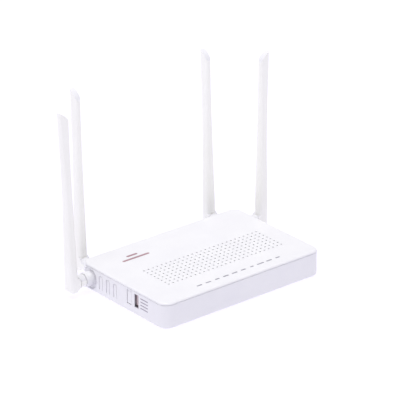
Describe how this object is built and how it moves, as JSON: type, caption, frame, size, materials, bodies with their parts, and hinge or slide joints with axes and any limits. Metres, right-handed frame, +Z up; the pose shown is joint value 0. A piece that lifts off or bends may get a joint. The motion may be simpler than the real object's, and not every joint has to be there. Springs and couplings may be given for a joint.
{
  "type": "optical network terminal",
  "caption": "Flat optical network terminal with fold-and-swivel antennas, perforated cover, rear sockets and a side USB port.",
  "frame": {"origin": "centre of the flat underside of the case, midway between the two wall slots", "axes": "+X right, +Y rear (socket side), +Z up"},
  "size_m": [0.2379, 0.1501, 0.1785],
  "materials": {
    "case_white": "satin moulded ABS",
    "antenna_white": "satin moulded ABS",
    "smoke": "smoked polycarbonate",
    "lamp": "LED package",
    "print_grey": "pad-printed ink",
    "board_green": "solder mask",
    "chip_black": "moulded epoxy",
    "aluminium": "extruded",
    "tin_steel": "tin-plated",
    "can_black": "sleeved can",
    "ferrite": "pressed ferrite",
    "fibre_yellow": "fibre jacket",
    "adapter_green": "moulded",
    "socket_black": "moulded",
    "gold": "gold-plated",
    "socket_grey": "moulded",
    "tongue_blue": "moulded",
    "screw_steel": "zinc-plated",
    "rubber": "moulded",
    "label": "blank film label"
  },
  "bodies": {
    "case": {"bottom_case": "case_white", "top_cover": "case_white", "light_guides": "smoke", "lamp_emitters": "lamp", "cover_mark": "print_grey", "side_mark": "print_grey", "circuit_board": "board_green", "processor": "chip_black", "heat_sink": "aluminium", "memory_chips": "chip_black", "shield_cans": "tin_steel", "lan_transformers": "chip_black", "capacitors": "can_black", "power_coil": "ferrite", "optical_module": "tin_steel", "fibre_pigtail": "fibre_yellow", "fibre_adapter": "adapter_green", "lan_sockets": "socket_black", "lan_contacts": "gold", "phone_socket": "socket_grey", "power_inlet": "socket_black", "power_inlet_pin": "tin_steel", "power_switch": "socket_black", "key_switches": "socket_black", "usb_shell": "tin_steel", "usb_tongue": "tongue_blue", "blanking_insert": "case_white", "case_screws": "screw_steel", "rubber_feet": "rubber", "rating_plate": "label"},
    "power_button": {"power_button": "case_white"},
    "wps_button": {"wps_button": "case_white"},
    "wifi_button": {"wifi_button": "case_white"},
    "left_swivel": {"left_stem": "antenna_white", "left_washer": "screw_steel"},
    "left_antenna": {"left_blade": "antenna_white", "left_pin": "screw_steel", "left_radiator": "board_green"},
    "rear_left_swivel": {"rear_left_stem": "antenna_white", "rear_left_washer": "screw_steel"},
    "rear_left_antenna": {"rear_left_blade": "antenna_white", "rear_left_pin": "screw_steel", "rear_left_radiator": "board_green"},
    "rear_right_swivel": {"rear_right_stem": "antenna_white", "rear_right_washer": "screw_steel"},
    "rear_right_antenna": {"rear_right_blade": "antenna_white", "rear_right_pin": "screw_steel", "rear_right_radiator": "board_green"},
    "right_swivel": {"right_stem": "antenna_white", "right_washer": "screw_steel"},
    "right_antenna": {"right_blade": "antenna_white", "right_pin": "screw_steel", "right_radiator": "board_green"}
  },
  "joints": [
    {"name": "power_button_push", "type": "slide", "parent": "case", "child": "power_button", "axis": [0, -1, 0], "range_m": [0, 0.0025], "stiffness_N_per_m": 400},
    {"name": "wps_button_push", "type": "slide", "parent": "case", "child": "wps_button", "axis": [-1, 0, 0], "range_m": [0, 0.0006], "stiffness_N_per_m": 800},
    {"name": "wifi_button_push", "type": "slide", "parent": "case", "child": "wifi_button", "axis": [-1, 0, 0], "range_m": [0, 0.0006], "stiffness_N_per_m": 800},
    {"name": "left_turn", "type": "hinge", "parent": "case", "child": "left_swivel", "pos_m": [-0.09, 0.0472, 0.012], "axis": [-1, 0, 0], "range_deg": [-90, 90]},
    {"name": "left_fold", "type": "hinge", "parent": "left_swivel", "child": "left_antenna", "pos_m": [-0.1102, 0.0472, 0.012], "axis": [0, -1, 0], "range_deg": [-0.8, 89.2]},
    {"name": "rear_left_turn", "type": "hinge", "parent": "case", "child": "rear_left_swivel", "pos_m": [-0.075, 0.06, 0.012], "axis": [0, 1, 0], "range_deg": [-90, 55]},
    {"name": "rear_left_fold", "type": "hinge", "parent": "rear_left_swivel", "child": "rear_left_antenna", "pos_m": [-0.075, 0.0802, 0.012], "axis": [-1, 0, 0], "range_deg": [0, 90]},
    {"name": "rear_right_turn", "type": "hinge", "parent": "case", "child": "rear_right_swivel", "pos_m": [0.075, 0.06, 0.012], "axis": [0, 1, 0], "range_deg": [-55, 90]},
    {"name": "rear_right_fold", "type": "hinge", "parent": "rear_right_swivel", "child": "rear_right_antenna", "pos_m": [0.075, 0.0802, 0.012], "axis": [-1, 0, 0], "range_deg": [-0.8, 89.2]},
    {"name": "right_turn", "type": "hinge", "parent": "case", "child": "right_swivel", "pos_m": [0.09, 0.0472, 0.012], "axis": [1, 0, 0], "range_deg": [-90, 90]},
    {"name": "right_fold", "type": "hinge", "parent": "right_swivel", "child": "right_antenna", "pos_m": [0.1102, 0.0472, 0.012], "axis": [0, 1, 0], "range_deg": [0, 90]}
  ]
}
